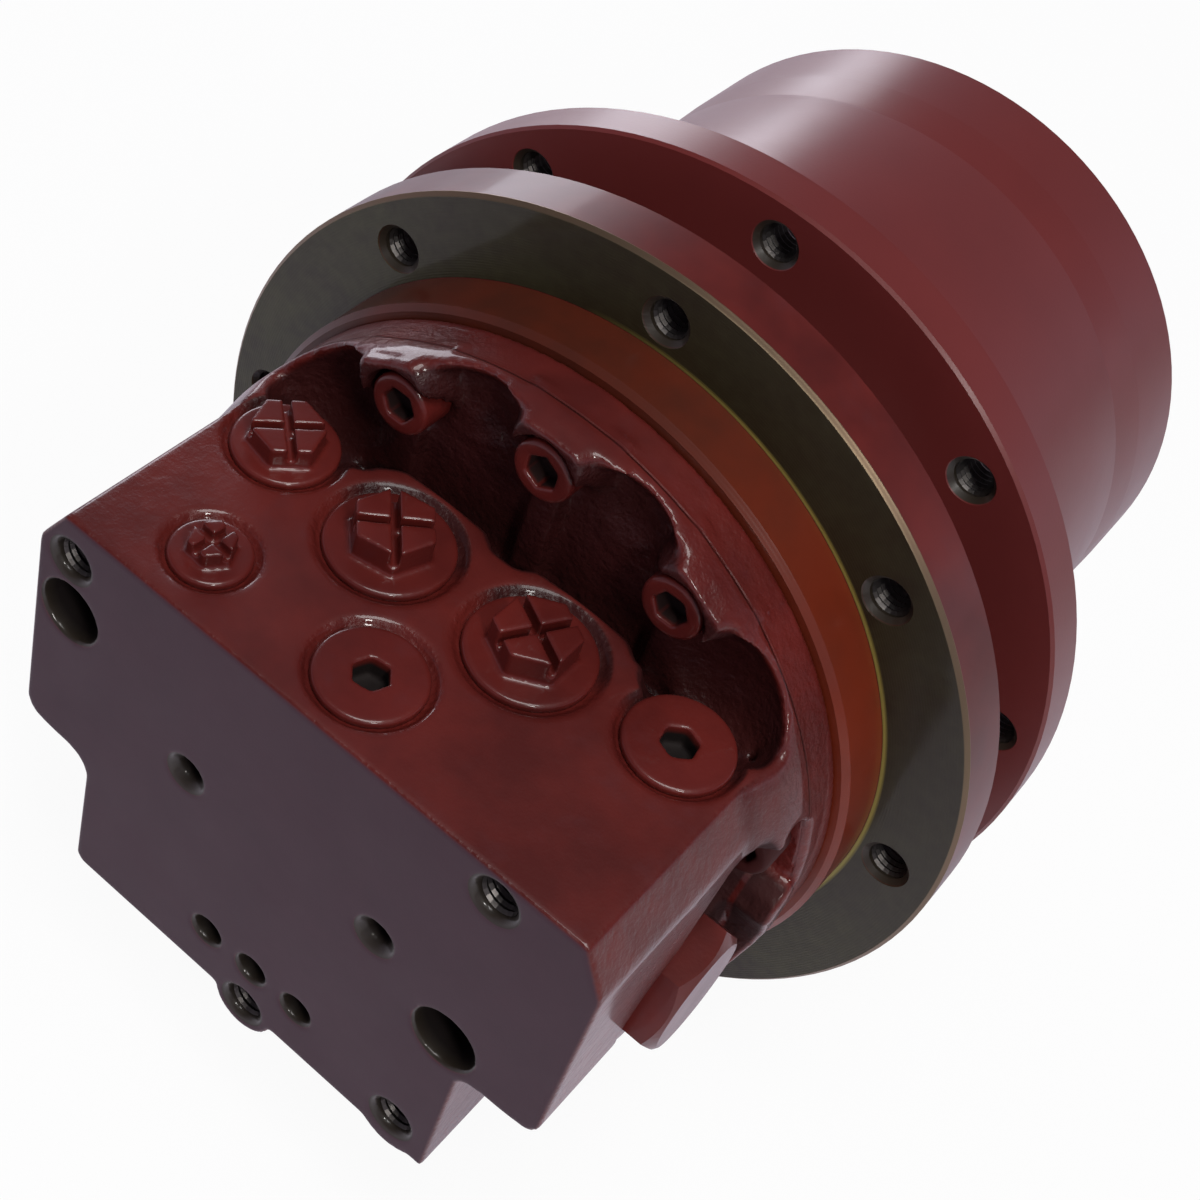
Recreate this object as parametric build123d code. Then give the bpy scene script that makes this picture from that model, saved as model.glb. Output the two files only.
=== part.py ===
from build123d import *
import math
import os

# Excavator final drive: hydraulic travel motor, two planetary stages and a turning gear case.
# Frame: +Y along the axis from the valve block to the case end, +Z towards the port face.
# The origin is the centre of the face that bolts to the track frame.

# Spindle and its flange
flange_r = 115.0
flange_thickness = 16.2
flange_chamfer = 1.0
pilot_r = 93.3
pilot_chamfer = 1.5
parting = -15.8
hub_r = 80.0
hub_end = 34.0
journal_r = 51.0
shoulder_r = 58.0
spindle_end = 98.0
nut_thread_r = 49.0
cavity_r = 43.0
cavity_end = 66.0
spindle_neck_r = 14.0
hole_inset = 13.0
frame_pcd = 2 * (flange_r - hole_inset)
frame_holes = 8
m12_core_r = 5.1
m12_mouth_r = 6.5

# Gear case
sprocket_flange_r = flange_r + 0.3
sprocket_face = 55.4
sprocket_flange_thickness = 13.4
sprocket_hole_inset = 11.8
sprocket_pcd = 2 * (sprocket_flange_r - sprocket_hole_inset)
sprocket_holes = 9
sprocket_phase = 89.1
sprocket_land_r = 95.0
sprocket_land_length = 6.6
skirt_r = 88.0
skirt_start = 20.0
case_r = 89.3
case_end = 173.2
barrel_r = 88.8
barrel_end = 136.0
taper_r = 93.5
cover_thickness = 7.0
cover_r = 80.0
cover_plug_r = 7.0
cover_plug_x = 34.0
ring_width = 1.6

# Gears: one module and one ring gear for both stages
module = 3.0
ring_teeth = 48
sun1_teeth = 12
sun2_teeth = 16
planet1_count = 3
planet2_count = 4
addendum = 0.8
dedendum = 1.25
pressure_angle = 20.0
tooth_thinning = 0.1
gear_gap = 0.5
face1 = 16.0
face2 = 20.0
carrier2_thickness = 8.5
carrier1_thickness = 8.5
hub1_r = 13.0
pin_r = 8.0
needle_r = 12.0
pin_head = 2.2
shaft_r = 9.0
m8_r = 4.0
m8_head_r = 6.5
carrier_screw_r = 36.0

# Main bearings and floating seal
bearing_r = 69.0
bearing_width = 18.0
bearing_gap = 6.0
cone_angle = 12.0
roller_r = 4.0
roller_length = 11.5
roller_count = 16
nut_width = 7.5
seal_in_r = 60.0
seal_out_r = 70.0
seal_bore_r = 74.0
seal_depth = 11.0

# Motor
block_r = 33.0
block_bore_r = 11.5
block_start_gap = 3.0
block_end = 20.0
piston_pcd_r = 23.5
piston_r = 6.0
piston_count = 9
shoe_r = 7.4
shoe_face = 38.5
swash_r = 35.0
swash_bore_r = 16.5
swash_thickness = 9.0
swash_angle = 12.5
swash_centre = 46.6
pivot_y = 58.0
pivot_x = 24.0
pivot_r = 5.5
control_x = 0.0
control_z = 34.0
control_r = 4.0
front_bearing_r = 25.0
shaft_neck_r = 10.0
rear_bush_r = 17.0
bush_depth = 15.0
front_bearing_width = 15.0
front_roller_r = 5.0
front_roller_count = 11
oil_seal_r = 22.0
oil_seal_width = 8.0

# Parking brake
brake_disc_r = 59.0
brake_bore_r = 60.0
brake_big_r = 68.0
brake_stop = 16.0
disc_thickness = 2.2
steel_thickness = 2.0
lug_count = 8

# Valve block
cast_r = 90.8
rear_face = -104.0
port_face = 49.2
block_half_width = cast_r - 10.2
pad_half_width = block_half_width - 7.1
shoulder_drop = 12.0
column_half_width = block_half_width - 21.6
column_bottom = -69.7
corner_boss_r = 11.4
bottom_boss_r = 9.0
notch_left = -26.5
notch_right = -22.0
machined_r = cast_r - 0.6
cast_start = -27.2
cast_end = -48.0
cast_end_r = cast_r - 2.0
lip_y = -33.7
lip_r = cast_r - 3.5
pocket_back = -31.0
scoop_back = -27.0
scoop_x = 19.5
scoop_width = 31.0
pocket_floor = 36.0
pad_edge = -37.0
counterbore_r = 9.5
nib_r = 12.5
screw_pcd_r = cast_r - 12.4
nib_at = screw_pcd_r + 5.6
screw_seat = -26.8
screw_angles = (60.0, 90.0, 120.0, 13.0, 167.0, 240.0, 270.0, 300.0)
pocket_screws = 3
m10_head_r = 8.0
m10_head_height = 10.0
screw_room = 2.5
screw_channel = 46.0
m10_r = 4.97
m10_core_r = 5.0
m10_length = 24.0
m10_socket_af = 8.0

# Plugs of the pad
recess_depth = 2.2
plug_flange = 2.2
plug_shank_ratio = 0.62
plug_shank = 12.0
groove = 1.1
slot_width = 2.0
large_lobe = 5.6
small_lobe = 4.0

# Spools and their plugs
spool_y = -53.0
spool_z = -15.0
spool_r = 11.0
spot_x = block_half_width - 2.1
spool_length = 2 * (spot_x - 32.5)
spool_boss_r = 21.5
cap_af = 32.0
cap_height = 7.5
cap_shank_r = 14.0
cap_shank = 16.0
speed_y = -84.0
speed_z = -40.0
speed_r = 6.0
speed_length = 2 * (column_half_width - 19.0)
speed_travel = 5.0
speed_plug_r = 8.0
speed_plug_height = 5.0
plug_depth = 10.0

# Running fit, wall gap and cut allowance
fit = 0.03
film = 0.05
gap = 0.3
cut = 1.0


def turned(*points):
    return revolve(Polygon(*points, align=None), Axis.Y, clean=False)


def tube(outer, inner, y0, y1):
    return turned((inner, y0), (outer, y0), (outer, y1), (inner, y1))


def rod(radius, y0, y1, x=0.0, z=0.0):
    return Pos(x, (y0 + y1) / 2, z) * Rot(90, 0, 0) * Cylinder(radius, y1 - y0)


def bar(radius, x0, x1, y, z):
    return Pos((x0 + x1) / 2, y, z) * Rot(0, 90, 0) * Cylinder(radius, x1 - x0)


def post(radius, z0, z1, x, y):
    return Pos(x, y, (z0 + z1) / 2) * Cylinder(radius, z1 - z0)


def brick(x0, x1, y0, y1, z0, z1):
    return Pos((x0 + x1) / 2, (y0 + y1) / 2, (z0 + z1) / 2) * Box(x1 - x0, y1 - y0, z1 - z0)


def steps(count, start=0.0):
    return [start + 360.0 * i / count for i in range(count)]


def turn(angle):
    return Rot(0, -angle, 0)


def polar(radius, angle):
    a = math.radians(angle)
    return radius * math.cos(a), radius * math.sin(a)


def hex_along_y(across, y0, y1):
    face = RegularPolygon(across / 2, 6, major_radius=False)
    return Pos(0, y0, 0) * Rot(-90, 0, 0) * extrude(face, y1 - y0)


def group(pieces):
    return Compound(children=list(pieces))


# Involute teeth

def involute(angle):
    return math.tan(angle) - angle


def tooth_outline(teeth, tip, root, thinning):
    pitch_r = module * teeth / 2
    base_r = pitch_r * math.cos(math.radians(pressure_angle))
    start_r = max(base_r, root)
    half_pitch = math.pi / 2 / teeth - thinning / pitch_r
    points = []
    for i in range(teeth):
        centre = 2 * math.pi * i / teeth
        flank = [(root, None)] if root < base_r else []
        flank += [(start_r + (tip - start_r) * k / 2, k) for k in range(3)]
        side = []
        for radius, _ in flank:
            along = math.acos(min(1.0, base_r / max(radius, base_r)))
            side.append((radius, half_pitch + involute(math.radians(pressure_angle)) - involute(along)))
        for sign, part in ((-1, side), (1, side[::-1])):
            points += [
                (radius * math.cos(centre + sign * half), radius * math.sin(centre + sign * half))
                for radius, half in part
            ]
    return points


def toothed(teeth, tip, root, y0, y1, thinning=tooth_thinning):
    face = Polygon(*tooth_outline(teeth, tip, root, thinning), align=None)
    return Pos(0, y0, 0) * Rot(-90, 0, 0) * extrude(face, y1 - y0, dir=(0, 0, 1))


def gear(teeth, y0, y1):
    pitch_r = module * teeth / 2
    return toothed(teeth, pitch_r + addendum * module, pitch_r - dedendum * module, y0, y1)


# Worked-out places along the axis
planet1_teeth = (ring_teeth - sun1_teeth) // 2
planet2_teeth = (ring_teeth - sun2_teeth) // 2
carrier1_r = module * (sun1_teeth + planet1_teeth) / 2
carrier2_r = module * (sun2_teeth + planet2_teeth) / 2
ring_pitch_r = module * ring_teeth / 2
ring_root_r = ring_pitch_r + dedendum * module
ring_tip_r = ring_pitch_r - addendum * module
carrier2_end = spindle_end + carrier2_thickness
planet2_start = carrier2_end + gear_gap
planet2_end = planet2_start + face2
pin2_end = planet2_end + gear_gap + pin_head
carrier1_start = pin2_end + 1.0
carrier1_end = carrier1_start + carrier1_thickness
planet1_start = carrier1_end + gear_gap
planet1_end = planet1_start + face1
pin1_end = planet1_end + gear_gap + pin_head
cover_seat = case_end - cover_thickness - 2 * ring_width - 0.4
cover_end = cover_seat + cover_thickness
ring_start = carrier2_end - 1.0
bearing1_start = hub_end + 12.0
bearing1_end = bearing1_start + bearing_width
bearing2_start = bearing1_end + bearing_gap
bearing2_end = bearing2_start + bearing_width
flange_near = sprocket_face - sprocket_flange_thickness
timing_face = parting + block_start_gap
block_start = timing_face + film
steel2_start = brake_stop - steel_thickness
friction2_start = steel2_start - disc_thickness - film
steel1_start = friction2_start - steel_thickness - film
friction1_start = steel1_start - disc_thickness - film
brake_face = friction1_start - film
brake_step = 0.0
brake_back = -9.0
seal_room = hub_end - seal_depth
front_end = cavity_end + front_bearing_width


# Turning gear case

def gear_case():
    chamfer_edge = 0.8
    rim = sprocket_flange_r
    body = turned(
        (hub_r + cut + 0.5, skirt_start), (skirt_r, skirt_start), (skirt_r, flange_near),
        (rim - chamfer_edge, flange_near), (rim, flange_near + chamfer_edge),
        (rim, sprocket_face - chamfer_edge), (rim - chamfer_edge, sprocket_face),
        (sprocket_land_r, sprocket_face), (sprocket_land_r, sprocket_face + sprocket_land_length),
        (taper_r, sprocket_face + sprocket_land_length + 1.5), (barrel_r, barrel_end),
        (case_r, barrel_end + 14.0), (case_r, case_end - 1.0), (case_r - 1.0, case_end),
        (cover_r + fit, case_end), (cover_r + fit, cover_seat), (ring_tip_r, cover_seat),
        (ring_tip_r, bearing2_end), (bearing_r, bearing2_end), (bearing_r, bearing2_start),
        (bearing_r - 5.0, bearing2_start), (bearing_r - 5.0, bearing1_end), (bearing_r, bearing1_end),
        (bearing_r, bearing1_start), (seal_bore_r, bearing1_start), (seal_bore_r, hub_end + 0.6),
        (hub_r + cut + 0.5, hub_end + 0.6),
    )
    body -= tube(cover_r + 2.3, cover_r - cut, cover_end + 0.1, cover_end + 0.1 + ring_width)
    body -= toothed(ring_teeth, ring_root_r, ring_tip_r - gap, ring_start, cover_seat + cut,
                    -tooth_thinning / 2)
    for angle in steps(sprocket_holes, sprocket_phase):
        x, z = polar(sprocket_pcd / 2, angle)
        body -= rod(m12_core_r, flange_near - cut, sprocket_face + cut, x, z)
        mouth = turned((0, flange_near - cut), (m12_mouth_r + cut, flange_near - cut),
                       (m12_core_r, flange_near + m12_mouth_r - m12_core_r), (0, flange_near + m12_mouth_r))
        body -= Pos(x, 0, z) * mouth
    return body


# Fixed spindle with the frame flange

def spindle():
    body = turned(
        (brake_big_r, parting), (pilot_r - pilot_chamfer, parting), (pilot_r, parting + pilot_chamfer),
        (pilot_r, 0), (flange_r - flange_chamfer, 0), (flange_r, flange_chamfer),
        (flange_r, flange_thickness - flange_chamfer), (flange_r - flange_chamfer, flange_thickness),
        (hub_r, flange_thickness), (hub_r, hub_end), (seal_bore_r, hub_end), (seal_bore_r, seal_room),
        (shoulder_r, seal_room), (shoulder_r, bearing1_start), (journal_r, bearing1_start),
        (journal_r, bearing2_end), (nut_thread_r, bearing2_end), (nut_thread_r, spindle_end),
        (spindle_neck_r, spindle_end), (spindle_neck_r, front_end + oil_seal_width),
        (oil_seal_r, front_end + oil_seal_width), (oil_seal_r, front_end), (front_bearing_r, front_end),
        (front_bearing_r, cavity_end), (cavity_r, cavity_end), (cavity_r, brake_stop),
        (brake_bore_r, brake_stop), (brake_bore_r, brake_step), (brake_big_r, brake_step),
    )
    for angle in steps(frame_holes):
        x, z = polar(frame_pcd / 2, angle)
        body -= rod(m12_core_r, -cut, flange_thickness + cut, x, z)
        mouth = turned((0, -cut), (m12_mouth_r + cut, -cut), (m12_core_r, m12_mouth_r - m12_core_r),
                       (0, m12_mouth_r))
        body -= Pos(x, 0, z) * mouth
    for angle in screw_angles:
        x, z = polar(screw_pcd_r, angle)
        body -= rod(m10_core_r, parting - cut, screw_seat + m10_length + 2.0, x, z)
    for side in (-1, 1):
        body += rod(pivot_r + 2.5, pivot_y + 1.2, cavity_end, side * pivot_x)
        body -= Pos(side * pivot_x, pivot_y, 0) * Sphere(pivot_r + fit)
    body -= rod(control_r + fit, cavity_end - cut, cavity_end + 16.0, control_x, control_z)
    for angle in steps(planet2_count, 45.0):
        x, z = polar(carrier_screw_r, angle)
        body -= rod(m8_r + fit, spindle_end - 16.0, spindle_end + cut, x, z)
    return body


# Floating seal

def seal_ring(y0, y1):
    middle = (y0 + y1) / 2
    lean = 2.0
    if y1 <= hub_end:
        return turned((seal_in_r, y0), (seal_out_r - lean, y0), (seal_out_r, middle), (seal_out_r, y1),
                      (seal_in_r, y1))
    return turned((seal_in_r, y0), (seal_out_r, y0), (seal_out_r, middle), (seal_out_r - lean, y1),
                  (seal_in_r, y1))


def toric_ring(y):
    section = (seal_bore_r - seal_out_r) / 2
    return Pos(0, y, 0) * Rot(90, 0, 0) * Torus(seal_out_r + section, section - film)


# Tapered roller bearing: both races and the roller_count share one apex on the axis

class RollerBearing:
    def __init__(self, y0, direction):
        self.y0 = y0
        self.direction = direction
        self.middle = y0 + bearing_width / 2
        self.pitch_r = (journal_r + bearing_r) / 2
        self.slant = self.pitch_r / math.sin(math.radians(cone_angle))
        self.half_cone = math.degrees(math.atan(roller_r / self.slant))
        self.apex = self.middle - direction * self.pitch_r / math.tan(math.radians(cone_angle))

    def race(self, y, side):
        return abs(y - self.apex) * math.tan(math.radians(cone_angle + side * self.half_cone))

    def inner(self):
        y0, y1 = self.y0, self.y0 + bearing_width
        reach = roller_length / 2 + 1.2
        big = self.middle + self.direction * reach
        end = y1 if self.direction > 0 else y0
        small = y0 if self.direction > 0 else y1
        return turned((journal_r, small), (self.race(small, -1), small), (self.race(big, -1), big),
                      (self.race(big, -1) + 2.5, big), (self.race(big, -1) + 2.5, end), (journal_r, end))

    def outer(self):
        y0, y1 = self.y0, self.y0 + bearing_width
        return turned((self.race(y0, 1), y0), (bearing_r, y0), (bearing_r, y1), (self.race(y1, 1), y1))

    def roller(self, extra=0.0, longer=0.0):
        near = self.slant - roller_length / 2 - longer
        far = self.slant + roller_length / 2 + longer
        half = math.tan(math.radians(self.half_cone))
        slim = extra - fit
        solid = turned((0, near), (near * half + slim, near), (far * half + slim, far), (0, far))
        lean = -cone_angle if self.direction > 0 else 180.0 + cone_angle
        return Pos(0, self.apex, 0) * Rot(0, 0, lean) * solid

    def roller_set(self):
        return [turn(angle) * self.roller() for angle in steps(roller_count)]

    def cage(self):
        thick = 0.9
        reach = roller_length / 2 + 1.0
        low, high = self.middle - reach, self.middle + reach
        centre = math.tan(math.radians(cone_angle))
        near, far = abs(low - self.apex) * centre, abs(high - self.apex) * centre
        ring = turned((near - thick, low), (near + thick, low), (far + thick, high), (far - thick, high))
        for angle in steps(roller_count):
            ring -= turn(angle) * self.roller(0.15, 0.15)
        return ring


# Planet stages

def planet(teeth, y0, y1):
    return gear(teeth, y0, y1) - rod(needle_r + fit, y0 - cut, y1 + cut)


def pin(y0, y1, gear_end):
    return rod(pin_r, y0, y1) + rod(needle_r + 1.5, gear_end + gear_gap, y1)


def placed(piece, radius, count):
    return [turn(angle) * Pos(radius, 0, 0) * piece for angle in steps(count)]


def fixed_carrier():
    plate_r = carrier2_r + pin_r + 5.0
    plate = tube(plate_r, spindle_neck_r, spindle_end, carrier2_end)
    for angle in steps(planet2_count):
        x, z = polar(carrier2_r, angle)
        plate -= rod(pin_r, spindle_end - cut, carrier2_end + cut, x, z)
    for angle in steps(planet2_count, 45.0):
        x, z = polar(carrier_screw_r, angle)
        plate -= rod(m8_r + fit, spindle_end - cut, carrier2_end + cut, x, z)
        plate -= rod(m8_head_r + gap, carrier2_end - 4.0, carrier2_end + cut, x, z)
    return plate


def carrier_screw():
    head = rod(m8_head_r, carrier2_end - 4.0, carrier2_end + 1.0)
    return head + rod(m8_r, spindle_end - 14.0, carrier2_end - 4.0) - hex_along_y(
        6.0, carrier2_end - 2.5, carrier2_end + 1.0)


def carrier1():
    plate = tube(carrier1_r + pin_r + 5.0, shaft_r + 0.6, carrier1_start, carrier1_end)
    hub = tube(hub1_r, shaft_r + 0.6, planet2_start, carrier1_start)
    for angle in steps(planet1_count):
        x, z = polar(carrier1_r, angle)
        plate -= rod(pin_r, carrier1_start - cut, carrier1_end + cut, x, z)
    return plate + hub


def sun2():
    teeth = turn(180.0 / sun2_teeth) * gear(sun2_teeth, planet2_start, planet2_end)
    return teeth - rod(hub1_r, planet2_start - cut, planet2_end + cut)


def sun1():
    teeth = turn(180.0 / sun1_teeth) * gear(sun1_teeth, planet1_start, planet1_end)
    return teeth - rod(shaft_r, planet1_start - cut, planet1_end + cut)


# Motor

def drive_shaft():
    neck = shaft_neck_r
    bearing_neck = front_bearing_r - 2 * front_roller_r
    tail = parting - 14.0
    end = planet1_end + 1.5
    body = turned(
        (0, tail), (neck, tail), (neck, parting + 2.0), (neck + 1.5, parting + 3.0),
        (neck + 1.5, cavity_end - 4.0), (bearing_neck, cavity_end - 4.0),
        (bearing_neck, front_end + 0.5), (neck, front_end + 0.5), (neck, front_end + oil_seal_width + 1.0),
        (shaft_r, front_end + oil_seal_width + 2.0), (shaft_r, end - 1.0), (shaft_r - 1.0, end), (0, end),
    )
    return body


def cylinder_block():
    body = tube(block_r, block_bore_r, block_start, block_end)
    body -= tube(block_bore_r + 4.5, block_bore_r - cut, block_end - 14.0, block_end + cut)
    for angle in steps(piston_count):
        x, z = polar(piston_pcd_r, angle)
        body -= rod(piston_r + fit, block_start + 7.0, block_end + cut, x, z)
        body -= rod(2.6, block_start - cut, block_start + 7.5, x, z)
    for angle in steps(lug_count):
        slot = brick(block_r - 2.0, block_r + cut, friction1_start - 1.0, block_end + cut, -2.5, 2.5)
        body -= turn(angle) * slot
    return body


def piston():
    ball_r = 4.3
    ball_y = shoe_face - 5.2
    body = turned((0, block_start + 9.0), (piston_r, block_start + 9.0), (piston_r, ball_y - 8.0),
                  (3.2, ball_y - 6.0), (3.2, ball_y), (0, ball_y))
    return body + Pos(0, ball_y, 0) * Sphere(ball_r)


def shoe():
    ball_y = shoe_face - 5.2
    body = turned((0, ball_y - 2.0), (5.6, ball_y - 2.0), (5.6, shoe_face - 2.4), (shoe_r, shoe_face - 2.4),
                  (shoe_r, shoe_face), (0, shoe_face))
    return body - Pos(0, ball_y, 0) * Sphere(4.3 + fit)


def retainer_plate():
    y1 = shoe_face - 2.4
    y0 = y1 - 1.8
    plate = tube(block_r - 0.5, 13.0, y0, y1)
    for angle in steps(piston_count):
        x, z = polar(piston_pcd_r, angle)
        plate -= rod(5.6 + fit, y0 - cut, y1 + cut, x, z)
    return plate


def retainer_guide():
    y1 = shoe_face - 2.4
    return turned((block_bore_r, block_end - 3.0), (block_bore_r + 4.2, block_end - 3.0),
                  (block_bore_r + 4.2, y1 - 6.0), (13.0 + 1.2, y1 - 1.8), (block_bore_r, y1 - 1.8))


def block_spring():
    return tube(block_bore_r + 4.0, block_bore_r + 1.2, block_end - 14.0, block_end - 3.0)


def swashplate():
    plate = rod(swash_r, 0, swash_thickness) - rod(swash_bore_r, -cut, swash_thickness + cut)
    plate = Pos(0, swash_centre, 0) * Rot(-swash_angle, 0, 0) * plate
    for side in (-1, 1):
        plate += rod(pivot_r + 1.5, swash_centre + 4.0, pivot_y - 1.0, side * pivot_x)
        plate -= Pos(side * pivot_x, pivot_y, 0) * Sphere(pivot_r + fit)
    return plate


def control_piston():
    lean = math.radians(swash_angle)
    reach = control_z + control_r
    tip = swash_centre + reach * math.tan(lean) + swash_thickness / math.cos(lean) + gap
    return rod(control_r, tip, tip + 14.0, control_x, control_z)


def timing_plate():
    plate = tube(block_r, 12.5, parting, timing_face)
    for side in (-1, 1):
        for tilt in (-1, 0, 1):
            plate -= turn(90.0 * side + tilt * 38.0 - 90.0) * rod(2.6, parting - cut, timing_face + cut,
                                                                piston_pcd_r, 0)
    return plate


def friction_disc(y0):
    disc = tube(brake_disc_r - 4.0, block_r + 0.4, y0, y0 + disc_thickness)
    for angle in steps(lug_count):
        disc += turn(angle) * brick(block_r - 1.6, block_r + 1.5, y0, y0 + disc_thickness, -2.2, 2.2)
    return disc


def steel_plate(y0):
    return tube(brake_bore_r, block_r + 3.0, y0, y0 + steel_thickness)


def brake_piston():
    inner = block_r + 2.0
    big = brake_big_r - fit
    small = brake_bore_r - fit
    return turned((inner, brake_back), (big, brake_back), (big, brake_step - gap),
                  (small, brake_step - gap), (small, brake_face), (inner, brake_face))


def brake_spring():
    flat = 3.2
    low, high = parting, brake_back - 0.02
    return turned((block_r + 9.0, low), (block_r + 9.0, low + flat), (brake_big_r - 6.0, high),
                  (brake_big_r - 6.0, high - flat))


def front_rollers_set():
    middle = front_bearing_r - front_roller_r
    one = rod(front_roller_r - fit, cavity_end + 3.0, cavity_end + front_bearing_width - 3.0, middle)
    return [turn(angle) * one for angle in steps(front_roller_count)]


# Cover end

def end_cover():
    lip = 4.0
    body = turned((0, cover_seat + 2.0), (58.0, cover_seat + 2.0), (62.0, cover_seat), (cover_r, cover_seat),
                  (cover_r, cover_end), (52.0, cover_end), (48.0, cover_end - 1.5), (0, cover_end - 1.5))
    body -= tube(cover_r + cut, cover_r - 2.4, cover_seat + lip - 1.4, cover_seat + lip + 1.4)
    for side in (-1, 1):
        body -= rod(cover_plug_r, cover_seat - cut, cover_end + cut, side * cover_plug_x)
        body -= rod(cover_plug_r + 4.0, cover_end - 2.6, cover_end + cut, side * cover_plug_x)
    return body


def cover_plug(side):
    top = cover_end - 1.0
    body = rod(cover_plug_r + 3.6, cover_end - 2.6, top, side * cover_plug_x)
    body += rod(cover_plug_r, cover_seat + 2.2, cover_end - 2.6, side * cover_plug_x)
    return body - Pos(side * cover_plug_x, 0, 0) * hex_along_y(7.0, cover_end - 5.5, top + cut)


def retaining_ring():
    y0 = cover_end + 0.1
    ring = tube(cover_r + 2.2, cover_r - 3.0, y0 + film / 2, y0 + ring_width - film / 2)
    ear = 7.0
    return ring - brick(-ear, ear, y0 - cut, y0 + ring_width + cut, -cover_r - 4.0, -cover_r + 8.0)


# Valve block with its port pad, spool bosses and cast pockets

# Each plug: x, y, recess radius, flange radius, kind, size across its flats, head height, turn
pad_plugs = (
    (-58.0, -50.0, 15.6, 13.2, "hex", 16.5, 6.0, 48.0),
    (-21.7, -54.2, 18.3, 15.7, "hex", 18.0, 7.5, 132.0),
    (19.3, -53.6, 18.3, 15.7, "hex", 18.0, 7.5, -28.5),
    (-46.0, -86.8, 12.0, 9.8, "hex", 10.0, 4.5, -5.0),
    (0.0, -85.2, 15.4, 13.2, "socket", 8.0, 0.0, 10.0),
    (57.0, -48.5, 15.2, 13.2, "socket", 8.0, 0.0, 40.0),
)

# Each hole: x, z, radius, mouth radius, depth
rear_holes = {
    "thread_top_left": (-70.6, 36.6, m12_core_r, m12_mouth_r, 20.0),
    "thread_top_right": (51.7, 41.0, m12_core_r, m12_mouth_r, 20.0),
    "thread_bottom": (0.0, -68.9, m12_core_r, m12_mouth_r, 20.0),
    "thread_corner": (47.6, -61.0, m12_core_r, m12_mouth_r, 20.0),
    "port_left": (-69.6, 19.6, 8.6, 9.0, 24.0),
    "port_right": (52.6, -15.8, 8.6, 9.0, 24.0),
    "pin_left": (-29.4, -1.4, 3.4, 5.8, 14.0),
    "pin_right": (28.7, -1.4, 3.4, 5.8, 14.0),
    "small_left": (-14.8, -52.4, 4.2, 5.0, 16.0),
    "small_middle": (0.0, -52.4, 4.2, 5.0, 16.0),
    "small_right": (14.8, -52.4, 4.2, 5.0, 16.0),
}


def rear_outline():
    w, c = block_half_width, column_half_width
    outline = Polygon(
        (pad_half_width, port_face), (w, port_face - shoulder_drop), (w, notch_right),
        (c, notch_right - 2.0), (c, column_bottom), (-c, column_bottom), (-c, notch_left - 2.0),
        (-w, notch_left), (-w, port_face - shoulder_drop), (-pad_half_width, port_face), align=None)
    corners = outline.vertices()
    rounds = {
        (w, port_face - shoulder_drop): 7.0, (w, notch_right): 5.0, (c, notch_right - 2.0): 5.0,
        (-c, column_bottom): 3.0, (-c, notch_left - 2.0): 7.0, (-w, notch_left): 6.0,
        (-w, port_face - shoulder_drop): 7.0,
    }
    for (x, z), radius in rounds.items():
        corner = [v for v in corners if abs(v.X - x) < 0.01 and abs(v.Y - z) < 0.01]
        outline = fillet(corner, radius)
        corners = outline.vertices()
    outline += Pos(*rear_holes["thread_corner"][:2]) * Circle(corner_boss_r)
    return outline


def upright(sketch, y0, y1):
    # The sketch's x and y become X and Z
    return Pos(0, y1, 0) * Rot(90, 0, 0) * extrude(sketch, y1 - y0, dir=(0, 0, 1))


def sideways(sketch, x0, x1):
    # The sketch's x and y become Y and Z
    return Pos(x0, 0, 0) * extrude(Plane.YZ * sketch, x1 - x0, dir=(1, 0, 0))


def screw_pocket(x, z):
    # Cast room for a screw head, open to the side or, under the block, downwards
    room = m10_head_r + screw_room
    if z < 0:
        reach = screw_seat - screw_channel
        below = brick(x - room, x + room, reach, screw_seat, z - 2 * room, z)
        return rod(room, reach, screw_seat, x, z) + below
    reach = cast_end - 3.0
    opening = Polygon((screw_seat, z - room), (screw_seat, z + room), (lip_y, z + room + 4.0),
                      (reach, z - 2.0), (reach, z - room), align=None)
    x0, x1 = sorted((x, math.copysign(abs(x) + 2 * room, x)))
    return rod(room, reach, screw_seat, x, z) + sideways(opening, x0, x1)


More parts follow.
